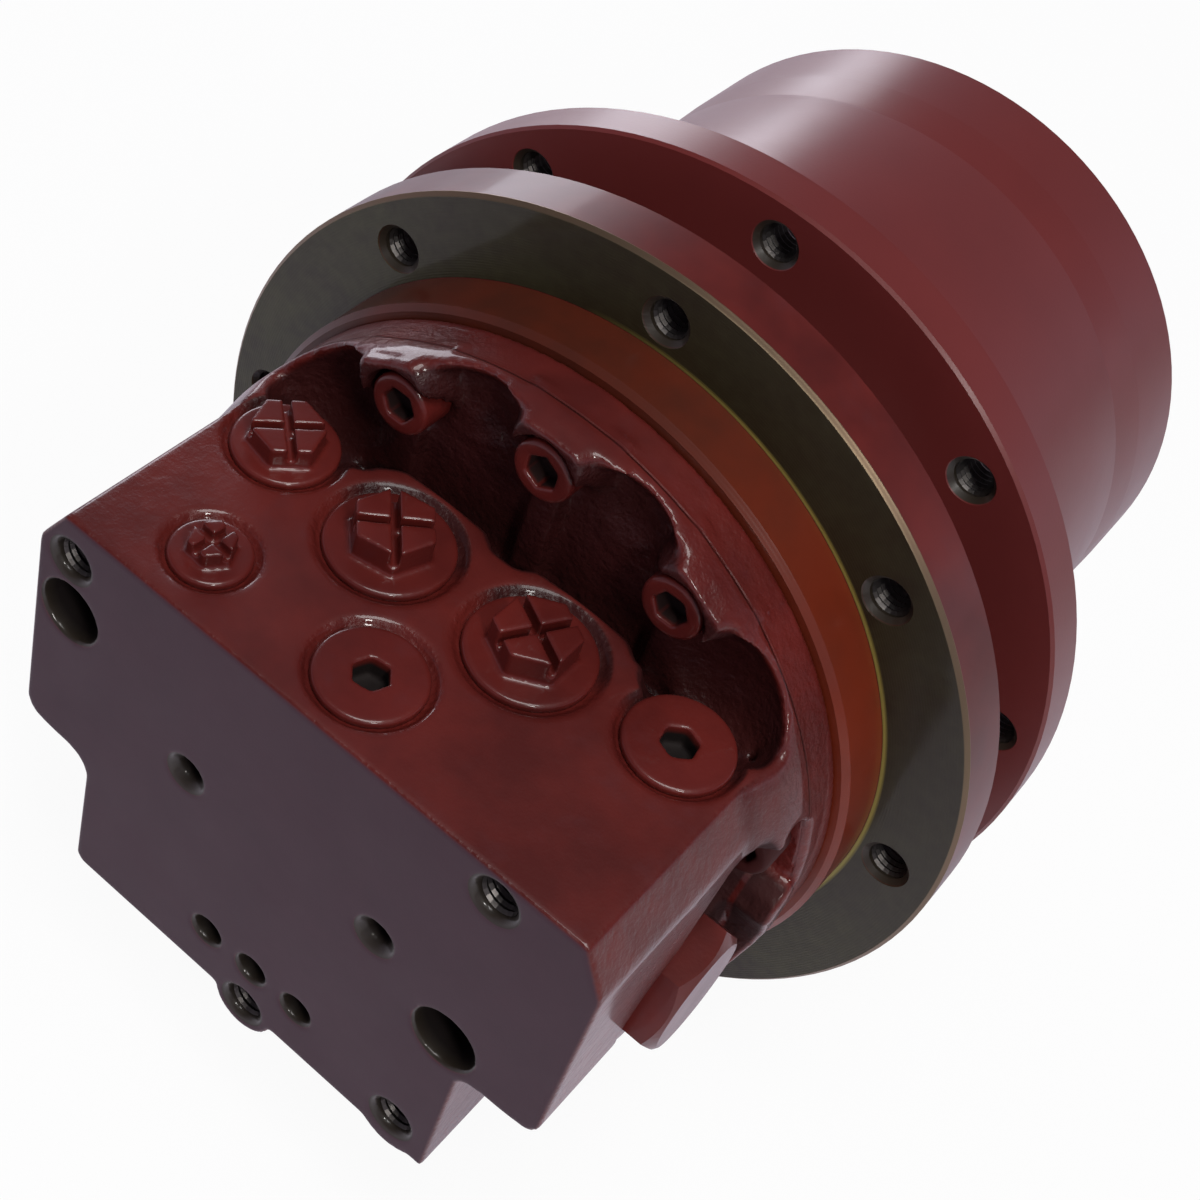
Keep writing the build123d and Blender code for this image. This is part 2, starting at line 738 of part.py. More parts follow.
def valve_block():
    body = turned((0, parting), (machined_r - 0.5, parting), (machined_r, parting - 0.5),
                  (machined_r, cast_start), (cast_r, cast_start - 0.5), (cast_r, lip_y - 4.0),
                  (cast_end_r, cast_end), (0, cast_end))
    body -= brick(-cast_r, cast_r, cast_end - cut, lip_y, port_face, cast_r + cut)
    body += upright(rear_outline(), rear_face, cast_end + cut)
    body += rod(bottom_boss_r, rear_face, speed_y + 2.0, *rear_holes["thread_bottom"][:2])
    body += bar(spool_boss_r, -spot_x, spot_x, spool_y, spool_z)

    # Pocket above the pad: a nib of the lip wraps each screw, which sits in a counterbore
    wall = Circle(lip_r)
    counterbores = []
    for angle in screw_angles[:pocket_screws]:
        wall -= Pos(*polar(nib_at, angle)) * Circle(nib_r)
        counterbores.append(Pos(*polar(screw_pcd_r, angle)) * Circle(counterbore_r))
    above = Pos(0, port_face + cast_r / 2) * Rectangle(2 * cast_r, cast_r)
    body -= upright(wall & above, lip_y - cut, pocket_back)
    for counterbore in counterbores:
        body -= upright(counterbore, lip_y - cut, screw_seat)

    # Cast scoops between the screws leave a rib under each of them
    for side in (-1, 1):
        scoop = Pos(side * scoop_x, pocket_floor + cast_r / 2) * RectangleRounded(scoop_width, cast_r, 5.0)
        body -= upright(wall & scoop, lip_y, scoop_back)

    # The pad ends in a round lobe about each plug, and drops to the cast floor before the flange
    half = math.sqrt(lip_r ** 2 - port_face ** 2) - 2.0
    trench = Pos(0, (pocket_back + pad_edge) / 2) * Rectangle(2 * half, pocket_back - pad_edge)
    for x, y, recess, *_ in pad_plugs:
        lobe = large_lobe if recess > 16.0 else small_lobe
        trench -= Pos(x, y) * Circle(recess + lobe)
    body -= Pos(0, 0, pocket_floor) * extrude(trench, port_face - pocket_floor + cut)

    # Spot faces, bores and screw pockets
    for side in (-1, 1):
        far = side * (cast_r + cut)
        body -= bar(spool_boss_r, min(side * spot_x, far), max(side * spot_x, far), spool_y, spool_z)
    body -= bar(spool_r, -spot_x - cut, spot_x + cut, spool_y, spool_z)
    for side in (-1, 1):
        ends = sorted((side * (spot_x - cap_shank - 1.0), side * (spot_x + cut)))
        body -= bar(cap_shank_r, *ends, spool_y, spool_z)
    column = column_half_width
    body -= bar(speed_r, -column - cut, column + cut, speed_y, speed_z)
    for side in (-1, 1):
        ends = sorted((side * column, side * (column + speed_plug_height + cut)))
        body -= bar(speed_plug_r + gap, *ends, speed_y, speed_z)
    body -= rod(rear_bush_r, parting - bush_depth, parting + cut)
    for index, angle in enumerate(screw_angles):
        x, z = polar(screw_pcd_r, angle)
        body -= rod(m10_r + 0.55, screw_seat - cut, parting + cut, x, z)
        if index >= pocket_screws:
            body -= screw_pocket(x, z)
    for x, z, core, mouth, depth in rear_holes.values():
        body -= rod(core, rear_face - cut, rear_face + depth, x, z)
        body -= Pos(x, 0, z) * turned((0, rear_face - cut), (mouth + cut, rear_face - cut),
                                      (core, rear_face + mouth - core), (0, rear_face + mouth - core))
    for x, y, recess, flange, *_ in pad_plugs:
        floor = port_face - recess_depth
        body -= post(flange + groove, floor, port_face + cut, x, y)
        flare = recess_depth * 0.7
        body -= Pos(x, y, port_face - flare / 2) * Cone(flange + groove, recess, flare)
        body -= post(flange * plug_shank_ratio, floor - plug_shank - 3.0, port_face, x, y)
    return body


def block_screw():
    top = screw_seat - m10_head_height
    body = turned((0, top), (m10_head_r - 0.8, top), (m10_head_r, top + 0.8), (m10_head_r, screw_seat),
                  (m10_r, screw_seat), (m10_r, screw_seat + m10_length), (0, screw_seat + m10_length))
    return body - hex_along_y(m10_socket_af, top - cut, top + 5.5)


def pad_plug(x, y, flange, kind, across, height, angle):
    base = port_face - recess_depth
    top = base + plug_flange
    shank = flange * plug_shank_ratio
    body = Rot(90, 0, 0) * turned(
        (0, base - plug_shank), (shank, base - plug_shank), (shank, base), (flange, base),
        (flange, top - 0.6), (flange - 0.6, top), (0, top))
    hexagon = RegularPolygon(across / 2, 6, major_radius=False)
    if kind == "socket":
        body -= Pos(0, 0, top - 6.0) * extrude(hexagon, 6.0 + cut)
    else:
        body += Pos(0, 0, top) * extrude(hexagon, height)
        depth = height * 0.65
        slots = Box(slot_width, across * 1.3, depth) + Box(across * 1.3, slot_width, depth)
        body -= Pos(0, 0, top + height - depth / 2 + 0.01) * slots
    return Pos(x, y, 0) * Rot(0, 0, angle) * body


def spool_cap(side):
    inner = spot_x - cap_shank
    hexagon = RegularPolygon(cap_af / 2, 6, major_radius=False, rotation=30.0)
    head = Rot(0, 90, 0) * Rot(0, 0, 7.0) * extrude(hexagon, cap_height + 1.5)
    outer = cap_af / 2 * 1.2
    top = spot_x + cap_height + 1.5
    chamfer = lathe_x((0, spot_x), (outer, spot_x), (outer, top - 3.0), (cap_af / 2 - 1.0, top), (0, top))
    body = (Pos(spot_x, 0, 0) * head) & chamfer
    body += bar(cap_shank_r, inner, spot_x, 0, 0)
    body -= bar(cap_shank_r - 4.0, inner - cut, spot_x - 4.0, 0, 0)
    body = Pos(0, spool_y, spool_z) * body
    return body if side > 0 else mirror(body, Plane.YZ)


def lathe_x(*points):
    # Points are radius and X
    return Rot(0, 0, -90) * turned(*points)


def counterbalance_spool():
    half = spool_length / 2
    neck = spool_r - 3.0
    body = lathe_x((0, -half), (spool_r - 5.0, -half), (spool_r - 5.0, -half + 5.0),
                   (spool_r - fit, -half + 5.0), (spool_r - fit, -18.0), (neck, -16.0), (neck, -8.0),
                   (spool_r - fit, -6.0), (spool_r - fit, 6.0), (neck, 8.0), (neck, 16.0),
                   (spool_r - fit, 18.0), (spool_r - fit, half - 5.0), (spool_r - 5.0, half - 5.0),
                   (spool_r - 5.0, half), (0, half))
    return Pos(0, spool_y, spool_z) * body


def spool_spring(side):
    half = spool_length / 2
    ends = sorted((side * (half - 5.0), side * (spot_x - 4.0)))
    ring = bar(spool_r - 1.6, *ends, spool_y, spool_z) - bar(spool_r - 4.4, ends[0] - cut, ends[1] + cut,
                                                             spool_y, spool_z)
    return ring


def speed_spool():
    half = speed_length / 2
    neck = speed_r - 2.0
    body = lathe_x((0, -half), (speed_r - fit, -half), (speed_r - fit, -6.0), (neck, -4.0), (neck, 10.0),
                   (speed_r - fit, 12.0), (speed_r - fit, half), (0, half))
    return Pos(-speed_travel, speed_y, speed_z) * body


def speed_spring():
    start = speed_length / 2 - speed_travel
    end = column_half_width - plug_depth
    return bar(speed_r - 0.5, start, end, speed_y, speed_z) - bar(speed_r - 2.0, start - cut, end + cut,
                                                                  speed_y, speed_z)


def speed_plug(side):
    wall = column_half_width
    head = lathe_x((0, wall), (speed_plug_r, wall), (speed_plug_r, wall + speed_plug_height - 0.8),
                   (speed_plug_r - 0.8, wall + speed_plug_height), (0, wall + speed_plug_height))
    head = Pos(0, speed_y, speed_z) * head + bar(speed_r, wall - plug_depth, wall, speed_y, speed_z)
    socket = Rot(0, 90, 0) * extrude(RegularPolygon(2.5, 6, major_radius=False), 6.0)
    head -= Pos(wall + 1.0, speed_y, speed_z) * socket
    return head if side > 0 else mirror(head, Plane.YZ)


def save(name, piece):
    solids = piece.solids() if hasattr(piece, "solids") else piece
    shape = solids[0] if len(solids) == 1 else Compound(children=list(solids))
    export_step(shape, f"parts/{name}.step")


os.makedirs("parts", exist_ok=True)

save("spindle", spindle())
save("valve_block", valve_block())
save("gear_case", gear_case())
save("end_cover", end_cover())
save("cover_plugs", group([cover_plug(-1), cover_plug(1)]))
save("cover_retaining_ring", retaining_ring())
save("cover_o_ring", Pos(0, cover_seat + 4.0, 0) * Rot(90, 0, 0) * Torus(cover_r - 1.2, 1.2 - film))

bearings = [RollerBearing(bearing1_start, 1), RollerBearing(bearing2_start, -1)]
save("bearing_inner_rings", group([one.inner() for one in bearings]))
save("bearing_outer_rings", group([one.outer() for one in bearings]))
save("bearing_rollers", group([roller for one in bearings for roller in one.roller_set()]))
save("bearing_cages", group([one.cage() for one in bearings]))
save("bearing_nut", tube(shoulder_r + 4.0, nut_thread_r, bearing2_end, bearing2_end + nut_width))

seal_half = seal_depth - 4.0
save("seal_ring_fixed", seal_ring(hub_end - seal_half, hub_end))
save("seal_ring_turning", seal_ring(hub_end + film, hub_end + film + seal_half))
save("seal_toric_fixed", toric_ring(hub_end - seal_half / 2))
save("seal_toric_turning", toric_ring(hub_end + film + seal_half / 2))

save("fixed_carrier", fixed_carrier())
save("carrier_screws", group([turn(a) * Pos(carrier_screw_r, 0, 0) * carrier_screw()
                              for a in steps(planet2_count, 45.0)]))
stage2_pin = pin(spindle_end, pin2_end, planet2_end)
stage1_pin = pin(carrier1_start, pin1_end, planet1_end)
save("stage2_pins", group(placed(stage2_pin, carrier2_r, planet2_count)))
sleeve2 = tube(needle_r, pin_r, planet2_start, planet2_end)
save("stage2_needle_sleeves", group(placed(sleeve2, carrier2_r, planet2_count)))
save("stage1_carrier", carrier1())
save("stage1_pins", group(placed(stage1_pin, carrier1_r, planet1_count)))
sleeve1 = tube(needle_r, pin_r, planet1_start, planet1_end)
save("stage1_needle_sleeves", group(placed(sleeve1, carrier1_r, planet1_count)))
save("sun_gear_stage2", sun2())
save("sun_gear_stage1", sun1())
planet2 = planet(planet2_teeth, planet2_start, planet2_end)
for index, piece in enumerate(placed(planet2, carrier2_r, planet2_count)):
    save(f"planet_stage2_{index + 1}", piece)
planet1 = planet(planet1_teeth, planet1_start, planet1_end)
for index, piece in enumerate(placed(planet1, carrier1_r, planet1_count)):
    save(f"planet_stage1_{index + 1}", piece)

save("drive_shaft", drive_shaft())
save("cylinder_block", cylinder_block())
save("pistons", group(placed(piston(), piston_pcd_r, piston_count)))
save("piston_shoes", group(placed(shoe(), piston_pcd_r, piston_count)))
save("retainer_plate", retainer_plate())
save("retainer_guide", retainer_guide())
save("cylinder_block_spring", block_spring())
save("swashplate", swashplate())
save("swash_pivot_balls", group([Pos(s * pivot_x, pivot_y, 0) * Sphere(pivot_r) for s in (-1, 1)]))
save("control_piston", control_piston())
save("timing_plate", timing_plate())
save("rear_shaft_bush", tube(rear_bush_r, shaft_neck_r + fit, parting - bush_depth + 0.5, parting - 1.0))
save("front_bearing_rollers", group(front_rollers_set()))
save("shaft_oil_seal", tube(oil_seal_r, shaft_neck_r + fit, front_end + 1.0, front_end + oil_seal_width))
save("friction_discs", group([friction_disc(friction1_start), friction_disc(friction2_start)]))
save("brake_steel_plates", group([steel_plate(steel1_start), steel_plate(steel2_start)]))
save("brake_piston", brake_piston())
save("brake_disc_spring", brake_spring())

save("block_screws", group([turn(a) * Pos(screw_pcd_r, 0, 0) * block_screw() for a in screw_angles]))
for kind in ("hex", "socket"):
    save(f"{kind}_port_plugs", group([pad_plug(x, y, flange, style, *head)
                                      for x, y, _, flange, style, *head in pad_plugs if style == kind]))
save("spool_caps", group([spool_cap(-1), spool_cap(1)]))
save("counterbalance_spool", counterbalance_spool())
save("spool_spring_left", spool_spring(-1))
save("spool_spring_right", spool_spring(1))
save("speed_spool", speed_spool())
save("speed_spool_spring", speed_spring())
save("speed_spool_plugs", group([speed_plug(-1), speed_plug(1)]))
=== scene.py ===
import math

import bmesh
import bpy
from mathutils import Matrix, Vector


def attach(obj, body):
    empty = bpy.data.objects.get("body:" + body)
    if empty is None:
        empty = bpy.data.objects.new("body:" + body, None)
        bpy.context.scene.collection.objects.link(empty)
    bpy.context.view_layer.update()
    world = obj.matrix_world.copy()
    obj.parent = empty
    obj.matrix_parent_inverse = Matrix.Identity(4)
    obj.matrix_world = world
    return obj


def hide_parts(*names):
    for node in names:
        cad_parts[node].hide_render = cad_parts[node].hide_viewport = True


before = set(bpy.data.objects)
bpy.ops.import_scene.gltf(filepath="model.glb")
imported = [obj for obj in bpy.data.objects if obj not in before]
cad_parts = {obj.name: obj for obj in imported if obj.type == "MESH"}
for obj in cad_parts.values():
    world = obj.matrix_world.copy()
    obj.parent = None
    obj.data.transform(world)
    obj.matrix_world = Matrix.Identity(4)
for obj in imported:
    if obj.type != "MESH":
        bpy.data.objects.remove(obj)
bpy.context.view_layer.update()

print("frame loaded:", len(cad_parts), "nodes")


# Shader writing

class Link:  # a socket that can be used in sums
    def __init__(self, tree, socket):
        self.tree = tree
        self.socket = socket

    def do(self, operation, *values, clamp=False):
        node = self.tree.nodes.new("ShaderNodeMath")
        node.operation = operation
        node.use_clamp = clamp
        for index, value in enumerate(values):
            plug(self.tree, node.inputs[index], value)
        return Link(self.tree, node.outputs[0])

    def __add__(self, other):
        return self.do("ADD", self, other)

    def __sub__(self, other):
        return self.do("SUBTRACT", self, other)

    def __rsub__(self, other):
        return self.do("SUBTRACT", other, self)

    def __mul__(self, other):
        return self.do("MULTIPLY", self, other)

    def __truediv__(self, other):
        return self.do("DIVIDE", self, other)

    def __pow__(self, other):
        return self.do("POWER", self, other)

    def __abs__(self):
        return self.do("ABSOLUTE", self)

    __radd__ = __add__
    __rmul__ = __mul__

    def upTo(self, other):
        return self.do("MINIMUM", self, other)

    def atLeast(self, other):
        return self.do("MAXIMUM", self, other)

    def clamped(self):
        return self.do("ADD", self, 0.0, clamp=True)

    def rise(self, start, end):  # from 0 at the start evenly to 1 at the end, which may be the lower of the two
        return self.do("DIVIDE", self - start, end - start, clamp=True)


def plug(tree, socket, value):
    if isinstance(value, Link):
        tree.links.new(value.socket, socket)
    elif isinstance(value, (tuple, list)) and len(value) == 3 and socket.type == "RGBA":
        socket.default_value = (*value, 1.0)
    else:
        socket.default_value = value


class Nodes:  # the nodes of a material or of the world
    def __init__(self, tree):
        self.tree = tree
        self.tree.nodes.clear()

    def add(self, kind, settings=None, inputs=None, output=0):
        node = self.tree.nodes.new("ShaderNode" + kind)
        for key, value in (settings or {}).items():
            setattr(node, key, value)
        for key, value in (inputs or {}).items():
            plug(self.tree, node.inputs[key], value)
        return Link(self.tree, node.outputs[output])

    def split(self, vector):
        node = self.tree.nodes.new("ShaderNodeSeparateXYZ")
        plug(self.tree, node.inputs[0], vector)
        return [Link(self.tree, socket) for socket in node.outputs]

    def blend(self, factor, first, second):
        return self.add("Mix", {"data_type": "RGBA"}, {"Factor": factor, 6: first, 7: second}, 2)

    def show(self, shader, kind="Material"):
        out = self.tree.nodes.new("ShaderNodeOutput" + kind)
        self.tree.links.new(shader.socket, out.inputs["Surface"])


class Finish(Nodes):  # one material
    def __init__(self, name):
        self.material = bpy.data.materials.new(name)
        self.material.use_nodes = True
        super().__init__(self.material.node_tree)
        self.place = self.add("TexCoord", output="Object")

    def noise(self, scale, detail=3.0, roughness=0.55, distortion=0.0):
        return self.add("TexNoise", {}, {"Vector": self.place, "Scale": scale, "Detail": detail,
                                         "Roughness": roughness, "Distortion": distortion}, "Fac")

    def spots(self, noise, span):
        return self.noise(*noise).rise(*span)

    def nearAxis(self, holes, axis="Y", fade=0.0002):  # 1 within the radius of any hole along the axis
        across = (1.0, 0.0, 1.0) if axis == "Y" else (1.0, 1.0, 0.0)
        flat = self.add("VectorMath", {"operation": "MULTIPLY"}, {0: self.place, 1: across})
        mask = None
        for x, other, radius in holes:
            centre = (x, 0.0, other) if axis == "Y" else (x, other, 0.0)
            gap = self.add("VectorMath", {"operation": "DISTANCE"}, {0: flat, 1: centre}, "Value")
            inside = gap.rise(radius + fade, radius)
            mask = inside if mask is None else mask.atLeast(inside)
        return mask

    def bump(self, height, strength, distance, under=None):
        inputs = {"Height": height, "Strength": strength, "Distance": distance}
        if under is not None:
            inputs["Normal"] = under
        return self.add("Bump", {}, inputs)

    def marks(self, noise, strength, distance, under=None):
        return self.bump(self.noise(*noise), strength, distance, under)

    def surface(self, inputs):
        self.show(self.add("BsdfPrincipled", {}, inputs))
        return self.material


def fromAxis(x, z):
    return (x * x + z * z) ** 0.5


def zone(measures, spans):  # 1 where every measure named is past its span
    mask = None
    for name, start, end in spans:
        part = measures[name].rise(start, end)
        mask = part if mask is None else mask * part
    return mask


def evenly(count, phase=0.0):
    return [phase + 360.0 * index / count for index in range(count)]


def ringOf(angles, radius, hole):  # x, z and mouth radius of each hole
    return [(radius * math.cos(math.radians(a)), radius * math.sin(math.radians(a)), hole) for a in angles]


# Paint shared by the castings and the plugs

paintLook = {
    "deep": (0.072, 0.0082, 0.0068),
    "bright": (0.118, 0.0135, 0.0105),
    "patches": (28.0, 4.0, 0.6),
    "patchSpan": (0.38, 0.66),
    "dusty": (0.085, 0.022, 0.026),
    "dust": (90.0, 5.0, 0.65),
    "dustSpan": (0.56, 0.78),
    "dustShare": 0.28,
    # painted shade deep inside holes and sockets
    "paintedHollowShade": (0.009, 0.0055, 0.005),
    "roughness": 0.34,
    "coat": 0.5,
    "coatRoughness": 0.07,
    "specular": 0.24,
}


def paintColour(finish):
    patches = finish.spots(paintLook["patches"], paintLook["patchSpan"])
    colour = finish.blend(patches, paintLook["deep"], paintLook["bright"])
    dust = finish.spots(paintLook["dust"], paintLook["dustSpan"])
    return finish.blend(dust * paintLook["dustShare"], colour, paintLook["dusty"])


blockLook = {
    "rear": (-0.1036, -0.1039),
    "rearColour": (0.056, 0.024, 0.036),
    "rearShade": (0.042, 0.02, 0.03),
    "mottle": (55.0, 5.0, 0.7),
    "mottleSpan": (0.3, 0.75),
    "mottleShare": 0.5,
    "rearRoughness": 0.2,
    "rearMatt": 0.8,
    "padTop": (0.0483, 0.0491),
    "padLevel": (0.9, 0.98),
    "padRoughness": 0.06,
    # the pocket colour is painted shade: the pocket behind the pad and the side rooms are darkened as recesses where
    # shade falls
    "paintedPocketShade": (0.026, 0.0065, 0.0065),
    "pocketShadeShare": 0.85,
    "pocketMatt": 0.5,
    "shadedPocket": (("y", -0.052, -0.046), ("y", -0.0245, -0.025), ("radius", 0.0895, 0.088), ("z", 0.028, 0.032)),
    "shadedSideRoom": (("side", 0.066, 0.07), ("radius", 0.0903, 0.0893), ("y", -0.056, -0.052), ("y", -0.028, -0.03),
                 ("z", 0.036, 0.032)),
    "sideRib": (("side", 0.0795, 0.0801), ("side", 0.0815, 0.0809)),
    "sideMatt": 0.9,
    "sideRoughness": 0.35,
    "mouth": (0.026, 0.02, 0.014),
    "mouthDepth": (-0.08, -0.081),
    # the depth over which a rear hole goes over from its mouth colour to painted shade
    "deep": (-0.1032, -0.0996),
    "deepRoughness": 0.4,
    "castGrain": (620.0, 3.0, 0.6),
    "castLumps": (170.0, 3.0, 0.5),
    "lumpShare": 0.7,
    "castStrength": 0.9,
    "castHeight": 0.0015,
    "padSmooth": 0.9,
    "padCoarse": 0.6,
    "coarseSide": (-0.035, -0.085),
    "groove": -0.0272,
    "grooveWidth": 0.0006,
    "grooveRound": (0.088, 0.0885),
    "grooveStrength": 0.9,
    "grooveHeight": 0.0008,
    "skin": (1500.0, 2.0),
    "skinStrength": 0.16,
    "skinHeight": 0.0002,
    "sheen": (45.0, 3.0),
    "sheenRoughness": 0.14,
}
rearHoles = (  # x, z, mouth radius
    (-0.0706, 0.0366, 0.0067), (0.0517, 0.041, 0.0067), (0.0, -0.0689, 0.0067), (0.0476, -0.061, 0.0067),
    (-0.0696, 0.0196, 0.0091), (0.0526, -0.0158, 0.0091), (-0.0294, -0.0014, 0.0058), (0.0287, -0.0014, 0.0058),
    (-0.0148, -0.0524, 0.005), (0.0, -0.0524, 0.005), (0.0148, -0.0524, 0.005),
)


def blockPaint():
    finish = Finish("blockPaint")
    look = blockLook
    x, y, z = finish.split(finish.place)
    upward = finish.split(finish.add("TexCoord", output="Normal"))[2]
    measures = {"side": abs(x), "y": y, "z": z, "radius": fromAxis(x, z)}

    rear = y.rise(*look["rear"])
    pad = z.rise(*look["padTop"]) * upward.rise(*look["padLevel"])
    shadedSideRoom = zone(measures, look["shadedSideRoom"]) * (1.0 - zone(measures, look["sideRib"]))
    # painted shade: the pocket behind the pad and the room over each side screw are darkened in colour
    shadedPocket = (zone(measures, look["shadedPocket"]) * (1.0 - pad)).atLeast(shadedSideRoom)
    hole = finish.nearAxis(rearHoles) * y.rise(*look["mouthDepth"])
    deep = y.rise(*look["deep"])

    mottle = finish.spots(look["mottle"], look["mottleSpan"]) * look["mottleShare"]
    rearColour = finish.blend(mottle, look["rearColour"], look["rearShade"])
    colour = finish.blend(shadedPocket * look["pocketShadeShare"], paintColour(finish), look["paintedPocketShade"])
    colour = finish.blend(rear, colour, rearColour)
    # deeper in, the rear holes go from their dark mouth colour to painted shade
    colour = finish.blend(hole, colour, finish.blend(deep, look["mouth"], paintLook["paintedHollowShade"]))

    coarse = x.rise(*look["coarseSide"])
    rough = (1.0 - rear) * (1.0 - pad * (look["padSmooth"] - coarse * look["padCoarse"])) * (1.0 - hole)
    lumps = finish.noise(*look["castLumps"]) * look["lumpShare"]
    grain = finish.noise(*look["castGrain"]) * (1.0 - look["lumpShare"])
    cast = finish.bump(lumps + grain, rough * look["castStrength"], look["castHeight"])
    line = (1.0 - abs(y - look["groove"]) / look["grooveWidth"]).clamped()
    line = line * measures["radius"].rise(*look["grooveRound"])
    grooved = finish.bump(1.0 - line, look["grooveStrength"], look["grooveHeight"], cast)
    skin = finish.marks(look["skin"], look["skinStrength"], look["skinHeight"], grooved)

    roughness = paintLook["roughness"] + finish.noise(*look["sheen"]) * look["sheenRoughness"]
    roughness = roughness + rear * look["rearRoughness"] + pad * look["padRoughness"]
    roughness = roughness + hole * deep * look["deepRoughness"] + shadedSideRoom * look["sideRoughness"]
    gloss = (1.0 - rear * look["rearMatt"]) * (1.0 - hole * deep)
    gloss = gloss * (1.0 - shadedPocket * look["pocketMatt"]) * (1.0 - shadedSideRoom * look["sideMatt"])
    return finish.surface({
        "Base Color": colour, "Roughness": roughness, "Normal": skin, "Coat Weight": gloss * paintLook["coat"],
        "Coat Roughness": paintLook["coatRoughness"], "Specular IOR Level": paintLook["specular"]})


plugLook = {
    "screwAngles": (60.0, 90.0, 120.0, 240.0, 270.0, 300.0),
    "screwCircle": 0.0784,
    "screwSocket": 0.0043,
    "socketDepth": (-0.0362, -0.0352),
    "socketShare": 0.9,
    "room": (("side", 0.066, 0.069), ("y", -0.0385, -0.0365)),  # a side screw is deep in its room, where its paint is darkened as painted shade
    "roomShare": 0.75,
    "roomRoughness": 0.3,
    "portSockets": ((0.0, -0.0852, 0.0047), (0.057, -0.0485, 0.0047)),  # x, y, radius
    "portSocketFade": 0.0003,
    "portSocketDepth": (0.0478, 0.0466),
    "skin": (900.0, 3.0),
    "skinStrength": 0.25,
    "portSkinStrength": 0.3,
    "skinHeight": 0.0002,
    "roughness": 0.3,
    "sheen": (70.0, 3.0),
    "sheenRoughness": 0.16,
    "socketRoughness": 0.4,
    "coat": 0.4,
    "portCoat": 0.45,
    "coatRoughness": 0.08,
    "portCoatRoughness": 0.07,
}


def plugPaint():
    finish = Finish("plugPaint")
    look = plugLook
    x, y, z = finish.split(finish.place)
    screws = ringOf(look["screwAngles"], look["screwCircle"], look["screwSocket"])
    # painted shade inside the screw sockets
    inside = finish.nearAxis(screws) * y.rise(*look["socketDepth"])
    room = zone({"side": abs(x), "y": y}, look["room"])
    # painted shade on the side screws in their room
    colour = finish.blend(room * look["roomShare"], paintColour(finish), blockLook["paintedPocketShade"])
    colour = finish.blend(inside * look["socketShare"], colour, paintLook["paintedHollowShade"])
    roughness = look["roughness"] + finish.noise(*look["sheen"]) * look["sheenRoughness"]
    roughness = roughness + inside * look["socketRoughness"] + room * look["roomRoughness"]
    return finish.surface({
        "Base Color": colour, "Roughness": roughness,
        "Normal": finish.marks(look["skin"], look["skinStrength"], look["skinHeight"]),
        "Coat Weight": (1.0 - inside) * (1.0 - room) * look["coat"],
        "Coat Roughness": look["coatRoughness"], "Specular IOR Level": paintLook["specular"]})


def portPlugPaint():
    finish = Finish("portPlugPaint")
    look = plugLook
    z = finish.split(finish.place)[2]
    # painted shade inside the sockets of the port plugs
    inside = finish.nearAxis(look["portSockets"], "Z", look["portSocketFade"]) * z.rise(*look["portSocketDepth"])
    roughness = look["roughness"] + finish.noise(*look["sheen"]) * look["sheenRoughness"]
    return finish.surface({
        "Base Color": finish.blend(inside, paintColour(finish), paintLook["paintedHollowShade"]),
        "Roughness": roughness + inside * look["socketRoughness"],
        "Normal": finish.marks(look["skin"], look["portSkinStrength"], look["skinHeight"]),
        "Coat Weight": (1.0 - inside) * look["portCoat"],
        "Coat Roughness": look["portCoatRoughness"], "Specular IOR Level": paintLook["specular"]})


caseLook = {
    "colour": (0.155, 0.024, 0.022),
    "shade": (0.13, 0.02, 0.0185),
    "clouds": (16.0, 4.0, 0.55),
    "cloudSpan": (0.3, 0.7),
    "holes": 9,
    "holeCircle": 0.1035,
    "holePhase": 89.1,
    "holeMouth": 0.0062,
    "skin": (1300.0, 2.0),
    "skinStrength": 0.12,
    "skinHeight": 0.00015,
    "roughness": 0.33,
    "sheen": (40.0, 3.0),
    "sheenRoughness": 0.1,
    "coat": 0.2,
    "coatRoughness": 0.22,
    "specular": 0.4,
}


def casePaint():
    finish = Finish("casePaint")
    look = caseLook
    colour = finish.blend(finish.spots(look["clouds"], look["cloudSpan"]), look["shade"], look["colour"])
    holes = ringOf(evenly(look["holes"], look["holePhase"]), look["holeCircle"], look["holeMouth"])
    return finish.surface({
        "Base Color": finish.blend(finish.nearAxis(holes), colour, blockLook["mouth"]),
        "Roughness": look["roughness"] + finish.noise(*look["sheen"]) * look["sheenRoughness"],
        "Normal": finish.marks(look["skin"], look["skinStrength"], look["skinHeight"]),
        "Coat Weight": look["coat"], "Coat Roughness": look["coatRoughness"], "Specular IOR Level": look["specular"]})


# Spindle: machined oily face, painted rim, thin orange-red paint on the pilot

